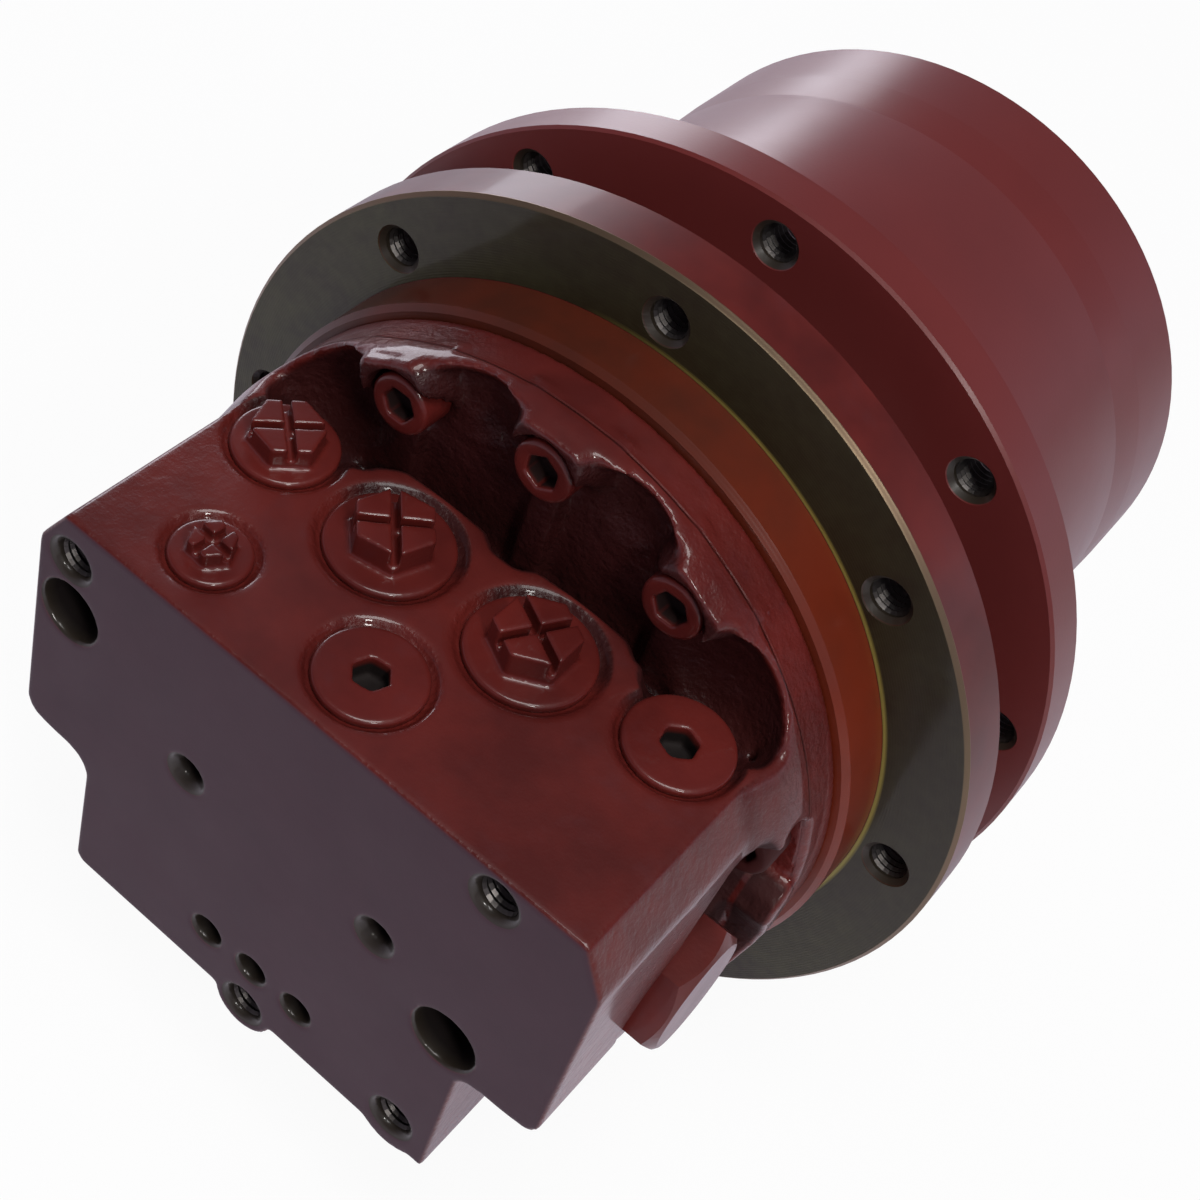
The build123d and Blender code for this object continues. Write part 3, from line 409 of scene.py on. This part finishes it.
spindleLook = {
    "oily": (0.02, 0.0155, 0.0062),
    "dry": (0.045, 0.048, 0.017),
    "wipes": (22.0, 5.0, 0.6, 1.2),
    "wipeSpan": (0.36, 0.64),
    "film": (0.078, 0.076, 0.036),
    "specks": (260.0, 3.0),
    "speckSpan": (0.4, 0.8),
    "speckShare": 0.4,
    "upRightToward": (0.6, 0.8),
    "upRightSpan": (-0.06, 0.07),
    "upRightShare": 0.75,
    "upRightSpecks": 0.25,
    "pilot": (0.158, 0.0195, 0.0062),
    # the darker pilot colour serves both random patches and painted shade toward the upper left
    "pilotPatchAndShade": (0.06, 0.013, 0.0066),
    "pilotRadius": (0.09335, 0.09345),
    "pilotStart": (0.0, -0.0002),
    "pilotPatches": (60.0, 4.0),
    "pilotPatchSpan": (0.4, 0.8),
    "pilotPatchShare": 0.35,
    "pilotPaintedShadeToward": 0.7,
    "pilotPaintedShadeSpan": (-0.03, 0.075),
    "pilotPaintedShadeShare": 0.8,
    "faceStart": (0.0002, 0.0001),
    "holes": 8,
    "holeCircle": 0.102,
    "holeMouth": 0.0062,
    "edge": (0.2, 0.155, 0.1),
    "edgeRadius": (0.1138, 0.114),
    "edgeStart": (0.0012, 0.0011),
    "edgeShare": 0.8,
    "line": (0.36, 0.31, 0.07),  # a thin yellow line of old paint round the pilot, kept to the right side; its fade toward the left is painted shade
    "lineRadius": (0.0948, 0.094),
    "lineLitSide": (-0.02, 0.03),
    "lineShare": 0.75,
    "turning": 9000.0,
    "turningShare": 0.5,
    "grain": (700.0, 2.0),
    "turnedHeight": 0.0001,
    "turnedStrength": 0.08,
    "faceStrength": 0.25,
    "faceMetal": 0.2,
    "edgeMetal": 0.8,
    "mostMetal": 0.9,
    "roughness": 0.34,
    "faceRoughness": 0.06,
    "wipeRoughness": 0.12,
    "pilotGloss": 0.05,
    "coat": 0.15,
    "faceCoat": 0.25,
    "coatRoughness": 0.09,
    "specular": 0.28,
}


def spindleFinish():
    finish = Finish("spindleFinish")
    look = spindleLook
    x, y, z = finish.split(finish.place)
    radius = fromAxis(x, z)
    outside = radius.rise(*look["pilotRadius"])
    face = y.rise(*look["faceStart"]) * outside
    chamfer = radius.rise(*look["edgeRadius"]) * y.rise(*look["edgeStart"])
    pilot = y.rise(*look["pilotStart"]) * (1.0 - outside)
    # the yellow line fades out toward the left as painted shade
    line = outside * radius.rise(*look["lineRadius"]) * face * x.rise(*look["lineLitSide"])
    holes = ringOf(evenly(look["holes"]), look["holeCircle"], look["holeMouth"])

    wipes = finish.noise(*look["wipes"])
    towardX, towardZ = look["upRightToward"]
    upRight = (x * towardX + z * towardZ).rise(*look["upRightSpan"])  # darker and browner toward the upper right, with fewer light specks
    dry = wipes.rise(*look["wipeSpan"]) * (1.0 - upRight * look["upRightShare"])
    specks = finish.spots(look["specks"], look["speckSpan"]) * (look["speckShare"] - upRight * look["upRightSpecks"])
    olive = finish.blend(specks, finish.blend(dry, look["oily"], look["dry"]), look["film"])
    # painted shade: the pilot is darker toward its upper left, and random patches add to it
    paintedShadeUpLeft = (z * look["pilotPaintedShadeToward"] - x * look["pilotPaintedShadeToward"]).rise(*look["pilotPaintedShadeSpan"])
    patches = finish.spots(look["pilotPatches"], look["pilotPatchSpan"])
    shade = (patches * look["pilotPatchShare"] + paintedShadeUpLeft * look["pilotPaintedShadeShare"]).clamped()
    thin = finish.blend(shade, look["pilot"], look["pilotPatchAndShade"])

    colour = finish.blend(face, paintColour(finish), olive)
    colour = finish.blend(pilot, colour, thin)
    colour = finish.blend(line * look["lineShare"], colour, look["line"])
    colour = finish.blend(chamfer * look["edgeShare"], colour, look["edge"])
    colour = finish.blend(finish.nearAxis(holes), colour, blockLook["mouth"])

    turns = radius * look["turning"]
    rings = turns.do("SINE", turns) * look["turningShare"] + finish.noise(*look["grain"]) * (1.0 - look["turningShare"])
    metallic = (face * look["faceMetal"] + chamfer * look["edgeMetal"]).upTo(look["mostMetal"])
    roughness = look["roughness"] + face * look["faceRoughness"] + wipes * look["wipeRoughness"]
    return finish.surface({
        "Base Color": colour, "Metallic": metallic, "Roughness": roughness - pilot * look["pilotGloss"],
        "Normal": finish.bump(rings, face * look["faceStrength"] + look["turnedStrength"], look["turnedHeight"]),
        "Coat Weight": (1.0 - metallic) * (look["coat"] + face * look["faceCoat"]),
        "Coat Roughness": look["coatRoughness"], "Specular IOR Level": look["specular"]})


# Bare metals and rubber: a tone, its shade in smears, and fine marks

bareLooks = {
    "steel": {"name": "gearSteel", "tone": (0.44, 0.44, 0.45), "shade": (0.308, 0.308, 0.315),
              "smears": (80.0, 4.0), "span": (0.35, 0.75), "metallic": 0.95, "roughness": 0.24, "smeared": 0.15,
              "marks": (1100.0, 2.0), "strength": 0.15, "height": 0.0001},
    "thread": {"name": "threadSteel", "tone": (0.13, 0.12, 0.115), "shade": (0.091, 0.084, 0.0805),
               "smears": (80.0, 4.0), "span": (0.35, 0.75), "metallic": 0.95, "roughness": 0.34, "smeared": 0.15,
               "marks": (1100.0, 2.0), "strength": 0.15, "height": 0.0001},
    "bronze": {"name": "bronze", "tone": (0.55, 0.34, 0.13), "shade": (0.36, 0.2, 0.07),
               "smears": (120.0, 4.0), "span": (0.3, 0.75), "metallic": 0.95, "roughness": 0.28, "smeared": 0.15,
               "marks": (900.0, 2.0), "strength": 0.15, "height": 0.0001},
    "rubber": {"name": "sealRubber", "tone": (0.018, 0.018, 0.019), "shade": (0.035, 0.034, 0.033),
               "smears": (150.0, 4.0), "span": (0.4, 0.8), "metallic": 0.0, "roughness": 0.55, "smeared": 0.2,
               "marks": (800.0, 3.0), "strength": 0.25, "height": 0.0002},
}


def bareFinish(look):
    finish = Finish(look["name"])
    smears = finish.noise(*look["smears"])
    return finish.surface({
        "Base Color": finish.blend(smears.rise(*look["span"]), look["tone"], look["shade"]),
        "Metallic": look["metallic"], "Roughness": look["roughness"] + smears * look["smeared"],
        "Normal": finish.marks(look["marks"], look["strength"], look["height"])})


finishes = {"block": blockPaint(), "plug": plugPaint(), "portPlug": portPlugPaint(), "case": casePaint(),
            "spindle": spindleFinish()}
for label, look in bareLooks.items():
    finishes[label] = bareFinish(look)

nodeFinish = {
    "valve_block": "block", "spindle": "spindle", "gear_case": "case", "end_cover": "case", "cover_plugs": "case",
    "block_screws": "plug", "hex_port_plugs": "portPlug", "socket_port_plugs": "portPlug", "spool_caps": "plug",
    "speed_spool_plugs": "plug", "cover_o_ring": "rubber", "seal_toric_fixed": "rubber",
    "seal_toric_turning": "rubber", "shaft_oil_seal": "rubber", "piston_shoes": "bronze", "timing_plate": "bronze",
    "rear_shaft_bush": "bronze", "friction_discs": "bronze",
}


def wear(thing, finish):
    thing.data.materials.clear()
    thing.data.materials.append(finishes[finish])


for nodeName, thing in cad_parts.items():
    wear(thing, nodeFinish.get(nodeName, "steel"))
print("finishes on", len(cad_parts), "nodes")


# Making pieces

mergeGap = 1e-6
smoothFactor = 0.5
toFront = Matrix.Rotation(math.radians(90.0), 4, "X")  # turns a cone's axis from Z to the front


def linked(name, data):
    thing = bpy.data.objects.new(name, data)
    bpy.context.scene.collection.objects.link(thing)
    return thing


def built(name, work):
    mesh = bpy.data.meshes.new(name)
    work.to_mesh(mesh)
    work.free()
    return linked(name, mesh)


def merged(nodeName, pieceName):
    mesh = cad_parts[nodeName].data.copy()
    work = bmesh.new()
    work.from_mesh(mesh)
    bmesh.ops.remove_doubles(work, verts=work.verts, dist=mergeGap)
    work.to_mesh(mesh)
    work.free()
    return linked(pieceName, mesh)


def outward(degrees, radius, y):  # a frame whose X points away from the drive's axis and whose Y lies along it
    turn = math.radians(degrees)
    away = Vector((math.cos(turn), 0.0, math.sin(turn)))
    along = Vector((0.0, 1.0, 0.0))
    around = Vector((-math.sin(turn), 0.0, math.cos(turn)))
    place = Matrix((away, along, around)).transposed().to_4x4()
    return Matrix.Translation(away * radius + along * y) @ place


# The block's casting: the same form with the soft edges that thick paint leaves

castingShape = {
    "sides": 48,
    "rounds": 4,
    "screwAngles": (60.0, 90.0, 120.0),
    "screwCircle": 0.0784,
    "headRoom": 0.0093,
    "headClear": 0.01,
    "seat": -0.0268,
    "nibPlace": 0.0842,
    "nibFoot": 0.0148,
    "nibTip": 0.0092,
    "nibBase": -0.024,
    "nibFront": -0.0378,
    "nibSide": 0.0901,
    "nibCut": 1e-7,
    "bowls": ((75.0, 0.076, 0.0168), (105.0, 0.076, 0.0168), (43.5, 0.0775, 0.0185), (136.5, 0.0775, 0.0185)),
    "bowlReach": 0.0174,
    "bowlDepth": 0.0108,
    "bowlPlace": -0.0366,
    "flamePlace": (0.0872, -0.0462),
    "flameHeights": (0.005, 0.0385),
    "flameFoot": 0.0158,
    "flameTip": 0.0035,
    "wellPlace": (0.083, -0.0425, 0.007),
    "wellSize": (0.0125, 0.0092, 0.0135),
    "voxel": 0.0009,
    "melting": 16,
    "smoothing": 2,
    "target": 190000,
}


def bowls(shape):
    work = bmesh.new()
    for degrees, radius, half in shape["bowls"]:
        place = outward(degrees, radius, shape["bowlPlace"])
        size = Matrix.Diagonal((shape["bowlReach"], shape["bowlDepth"], half, 1.0))
        bmesh.ops.create_icosphere(work, subdivisions=shape["rounds"], radius=1.0, matrix=place @ size)
    return built("bowls", work)


def flames(shape):  # the cast room over each side screw, pointed at the top
    work = bmesh.new()
    x, y = shape["flamePlace"]
    low, high = shape["flameHeights"]
    for side in (-1, 1):
        bmesh.ops.create_cone(work, cap_ends=True, segments=shape["sides"], radius1=shape["flameFoot"],
                              radius2=shape["flameTip"], depth=high - low,
                              matrix=Matrix.Translation((side * x, y, (low + high) / 2)))
    return built("flames", work)


def wells(shape):  # the room goes on below the screw, behind the spool cap
    work = bmesh.new()
    x, y, z = shape["wellPlace"]
    size = Matrix.Diagonal((*shape["wellSize"], 1.0))
    for side in (-1, 1):
        bmesh.ops.create_icosphere(work, subdivisions=shape["rounds"], radius=1.0,
                                   matrix=Matrix.Translation((side * x, y, z)) @ size)
    return built("wells", work)


def nibs(shape):  # the pointed wall round each screw of the pocket, cut flush with the round part
    work = bmesh.new()
    middle = (shape["nibBase"] + shape["nibFront"]) / 2
    for degrees in shape["screwAngles"]:
        one = bmesh.new()
        bmesh.ops.create_cone(one, cap_ends=True, segments=shape["sides"], radius1=shape["nibFoot"],
                              radius2=shape["nibTip"], depth=shape["nibBase"] - shape["nibFront"],
                              matrix=outward(degrees, shape["nibPlace"], middle) @ toFront)
        away = outward(degrees, 1.0, 0.0).translation
        bmesh.ops.bisect_plane(one, geom=one.verts[:] + one.edges[:] + one.faces[:], dist=shape["nibCut"],
                               plane_co=away * shape["nibSide"], plane_no=away, clear_outer=True)
        bmesh.ops.holes_fill(one, edges=one.edges[:])
        bmesh.ops.recalc_face_normals(one, faces=one.faces)
        mesh = bpy.data.meshes.new("nib")
        one.to_mesh(mesh)
        one.free()
        work.from_mesh(mesh)
        bpy.data.meshes.remove(mesh)
    return built("nibs", work)


def headRooms(shape):
    work = bmesh.new()
    front = shape["nibFront"] - shape["headClear"]
    for degrees in shape["screwAngles"]:
        place = outward(degrees, shape["screwCircle"], (front + shape["seat"]) / 2)
        bmesh.ops.create_cone(work, cap_ends=True, segments=shape["sides"], radius1=shape["headRoom"],
                              radius2=shape["headRoom"], depth=shape["seat"] - front, matrix=place @ toFront)
    return built("headRooms", work)


def finished(thing):
    graph = bpy.context.evaluated_depsgraph_get()
    graph.update()
    mesh = bpy.data.meshes.new_from_object(thing.evaluated_get(graph))
    thing.modifiers.clear()
    thing.data = mesh


def carve(piece, tool, operation):
    cutter = piece.modifiers.new(tool.name, "BOOLEAN")
    cutter.operation = operation
    cutter.solver = "EXACT"
    cutter.object = tool
    finished(piece)
    bpy.data.objects.remove(tool)
    print(piece.name, operation.lower(), "faces", len(piece.data.polygons))


def smoothing(piece, name, rounds, group=""):
    flow = piece.modifiers.new(name, "SMOOTH")
    flow.factor = smoothFactor
    flow.iterations = rounds
    flow.vertex_group = group


def soften(piece, shape, melt=None):
    remesh = piece.modifiers.new("voxels", "REMESH")
    remesh.mode = "VOXEL"
    remesh.voxel_size = shape["voxel"]
    finished(piece)
    if melt:
        group = piece.vertex_groups.new(name="melt")
        for vert in piece.data.vertices:
            group.add([vert.index], melt(vert.co), "REPLACE")
        smoothing(piece, "melt", shape["melting"], "melt")
    smoothing(piece, "paint", shape["smoothing"])
    finished(piece)
    faces = sum(len(face.vertices) - 2 for face in piece.data.polygons)
    if faces > shape["target"]:
        thin = piece.modifiers.new("thin", "DECIMATE")
        thin.ratio = shape["target"] / faces
        finished(piece)
    for face in piece.data.polygons:
        face.use_smooth = True
    print(piece.name, "faces", faces, "kept", len(piece.data.polygons))


meltShape = {
    "pocketFront": (-0.053, -0.045),
    "pocketFloor": (0.028, 0.034),
    "plugRims": ((-0.058, -0.05, 0.0166), (-0.0217, -0.0542, 0.0193), (0.0193, -0.0536, 0.0193),
                 (0.057, -0.0485, 0.0162)),  # x, y, radius: these edges stay crisp
    "rimAbove": 0.044,
    "rimFade": 0.003,
    "side": (0.06, 0.064),
    "sideFront": (-0.066, -0.06),
    "sideTop": (0.047, 0.043),
    "machined": (-0.027, -0.022),
}


def ramp(value, start, end):
    return min(1.0, max(0.0, (value - start) / (end - start)))


def meltAt(place):  # how far thick paint and sand casting round the block off here
    shape = meltShape
    back = ramp(place.y, *shape["pocketFront"]) * ramp(place.z, *shape["pocketFloor"])
    if place.z > shape["rimAbove"]:
        for x, y, rim in shape["plugRims"]:
            back = min(back, ramp(math.hypot(place.x - x, place.y - y), rim, rim + shape["rimFade"]))
    side = ramp(abs(place.x), *shape["side"]) * ramp(place.y, *shape["sideFront"]) * ramp(place.z, *shape["sideTop"])
    return max(back, side) * (1.0 - ramp(place.y, *shape["machined"]))


casting = merged("valve_block", "valveBlockCasting")
for tool in (bowls, flames, wells):
    carve(casting, tool(castingShape), "DIFFERENCE")
carve(casting, nibs(castingShape), "UNION")
carve(casting, headRooms(castingShape), "DIFFERENCE")
soften(casting, castingShape, meltAt)
wear(casting, "block")
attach(casting, "frame_side")
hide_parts("valve_block")


# Plugs and screws of the block: paint rounds their edges and half fills their sockets

paintedParts = {
    "hex_port_plugs": {
        "name": "hexPortPlugs", "finish": "portPlug", "voxel": 0.0005, "smoothing": 3, "target": 110000},
    "socket_port_plugs": {
        "name": "socketPortPlugs", "finish": "portPlug", "voxel": 0.0005, "smoothing": 5, "target": 70000},
    "block_screws": {
        "name": "blockScrews", "finish": "plug", "voxel": 0.0005, "smoothing": 3, "target": 110000},
}
for nodeName, shape in paintedParts.items():
    part = merged(nodeName, shape["name"])
    soften(part, shape)
    wear(part, shape["finish"])
    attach(part, "frame_side")
    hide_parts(nodeName)


# Threads in the open holes

threadShape = {
    "crest": 0.00455,
    "crestAt": 0.5,
    "root": 0.00506,
    "pitch": 0.00175,
    "sides": 20,
    "rings": {
        "frame": {"count": 8, "radius": 0.102, "phase": 0.0, "start": 0.0018, "end": 0.0148, "body": "frame_side"},
        "sprocket": {"count": 9, "radius": 0.1035, "phase": 89.1, "start": 0.0438, "end": 0.0545,
                     "body": "turning_case"},
    },
    "rear": {"topLeft": (-0.0706, 0.0366), "topRight": (0.0517, 0.041), "bottom": (0.0, -0.0689),
             "corner": (0.0476, -0.061)},
    "rearStart": -0.1022,
    "rearEnd": -0.0855,
}


def threadSleeve(name, x, z, start, end, body):
    pitch, sides = threadShape["pitch"], threadShape["sides"]
    turns = int((end - start) / pitch)
    work = bmesh.new()
    root = threadShape["root"]
    flank = ((root, 0.0), (threadShape["crest"], threadShape["crestAt"]), (root, 1.0))
    verts = [work.verts.new((radius, start + step * pitch, 0.0)) for radius, step in flank]
    edges = [work.edges.new(pair) for pair in zip(verts, verts[1:])]
    bmesh.ops.spin(work, geom=verts + edges, cent=(0, 0, 0), axis=(0, 1, 0), angle=2 * math.pi * turns,
                   steps=sides * turns, dvec=(0.0, pitch / sides, 0.0))
    bmesh.ops.remove_doubles(work, verts=work.verts, dist=mergeGap)
    bmesh.ops.recalc_face_normals(work, faces=work.faces)
    first = work.faces[:][0]
    if first.normal.dot(first.calc_center_median()) > 0:  # the thread faces the middle of its hole
        bmesh.ops.reverse_faces(work, faces=work.faces)
    bmesh.ops.translate(work, verts=work.verts, vec=(x, 0.0, z))
    piece = built(name, work)
    wear(piece, "thread")
    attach(piece, body)


for label, ring in threadShape["rings"].items():
    for index, degrees in enumerate(evenly(ring["count"], ring["phase"])):
        angle = math.radians(degrees)
        threadSleeve(f"{label}Thread{index + 1}", ring["radius"] * math.cos(angle), ring["radius"] * math.sin(angle),
                     ring["start"], ring["end"], ring["body"])
for label, (x, z) in threadShape["rear"].items():
    threadSleeve(f"rearThread_{label}", x, z, threadShape["rearStart"], threadShape["rearEnd"], "frame_side")
print("threads cut")


# Camera, floor and light

cameraPlace = {
    "location": (0.13395, -0.32345, 0.38931),
    "right": (0.7596, 0.6142, 0.2140),
    "down": (0.5695, -0.4691, -0.6750),
    "forward": (-0.3142, 0.6346, -0.7061),
    "lens": 61.366,
    "sensor": 36.0,
    "shift": (0.07934, -0.10233),
    "nearest": 0.01,
}
lens = bpy.data.cameras.new("camera")
lens.lens = cameraPlace["lens"]
lens.sensor_width = cameraPlace["sensor"]
lens.shift_x, lens.shift_y = cameraPlace["shift"]
lens.clip_start = cameraPlace["nearest"]
camera = linked("camera", lens)
axes = Matrix((cameraPlace["right"], [-v for v in cameraPlace["down"]], [-v for v in cameraPlace["forward"]]))
camera.matrix_world = Matrix.Translation(cameraPlace["location"]) @ axes.transposed().to_4x4()
bpy.context.scene.camera = camera

studio = {
    "floor": -0.1156,
    "floorSize": 40.0,
    "floorColour": (0.82, 0.82, 0.84),
    "white": (1.0, 1.0, 1.0),
    "whiteStrength": 1.0,
    "shadow": 0.06,
    "mirrored": 0.4,
    "mirroredSide": (0.55, 0.15),  # the room is dim on the right
    "lilac": (0.9, 0.8, 1.0),
    "horizon": 0.5,
    "horizonEnd": 0.12,
    "zenith": 0.08,
    "zenithStart": 0.55,
}


def backdrop():
    finish = Finish("studioFloor")
    direct = finish.add("LightPath", output="Is Camera Ray")
    glossy = finish.add("LightPath", output="Is Glossy Ray")
    pale = finish.add("BsdfDiffuse", {}, {"Color": studio["floorColour"]})
    tint = finish.blend(direct, studio["lilac"], studio["white"])
    glow = finish.add("Emission", {}, {"Color": tint, "Strength": studio["whiteStrength"]})
    x = finish.split(finish.place)[0]
    mirrored = glossy * (x.rise(*studio["mirroredSide"]) * studio["mirrored"])
    seen = (direct * (1.0 - studio["shadow"]) + mirrored).upTo(1.0)
    finish.show(finish.add("MixShader", {}, {"Fac": seen, 1: pale, 2: glow}))
    return finish.material


work = bmesh.new()
bmesh.ops.create_grid(work, x_segments=1, y_segments=1, size=studio["floorSize"] / 2)
bmesh.ops.translate(work, verts=work.verts, vec=(0.0, 0.0, studio["floor"]))
floor = built("studioFloor", work)
floor.data.materials.append(backdrop())

world = bpy.data.worlds.new("studio")
world.use_nodes = True
bpy.context.scene.world = world
sky = Nodes(world.node_tree)
height = sky.split(sky.add("TexCoord", output="Generated"))[2]
dim = sky.add("MapRange", {}, {  # a pale horizon under a dim ceiling
    "Value": height, "From Min": studio["horizonEnd"], "From Max": studio["zenithStart"],
    "To Min": studio["horizon"], "To Max": studio["zenith"]})
dome = sky.add("Background", {}, {"Color": studio["lilac"], "Strength": dim})
blank = sky.add("Background", {}, {"Color": studio["white"], "Strength": studio["whiteStrength"]})
seen = sky.add("LightPath", output="Is Camera Ray")
sky.show(sky.add("MixShader", {}, {"Fac": seen, 1: dome, 2: blank}), "World")

lamps = {
    "overhead": {"place": (0.25, -0.25, 1.5), "aim": (0.0, 0.0, 0.0), "size": (0.7, 0.7), "power": 14.0,
                 "tint": (1.0, 0.98, 0.97)},
    "key": {"place": (0.75, -0.6, 0.92), "aim": (0.0, 0.0, 0.0), "size": (0.16, 0.22), "power": 5.0,
            "tint": (1.0, 0.98, 0.95)},
    "back": {"place": (-1.1, 1.0, 0.35), "aim": (0.0, 0.1, 0.0), "size": (0.9, 0.5), "power": 8.0,
             "tint": (0.92, 0.92, 1.0)},
    "side": {"place": (1.2, 0.9, 0.1), "aim": (0.0, 0.0, 0.0), "size": (0.9, 0.5), "power": 0.6,
             "tint": (0.93, 0.9, 1.0)},
}
for label, lamp in lamps.items():
    light = bpy.data.lights.new(label, "AREA")
    light.shape = "RECTANGLE"
    light.size, light.size_y = lamp["size"]
    light.energy = lamp["power"]
    light.color = lamp["tint"]
    holder = linked(label, light)
    toward = Vector(lamp["aim"]) - Vector(lamp["place"])
    holder.matrix_world = Matrix.Translation(lamp["place"]) @ toward.to_track_quat("-Z", "Y").to_matrix().to_4x4()
bpy.context.scene.view_settings.view_transform = "Standard"
print("studio set")
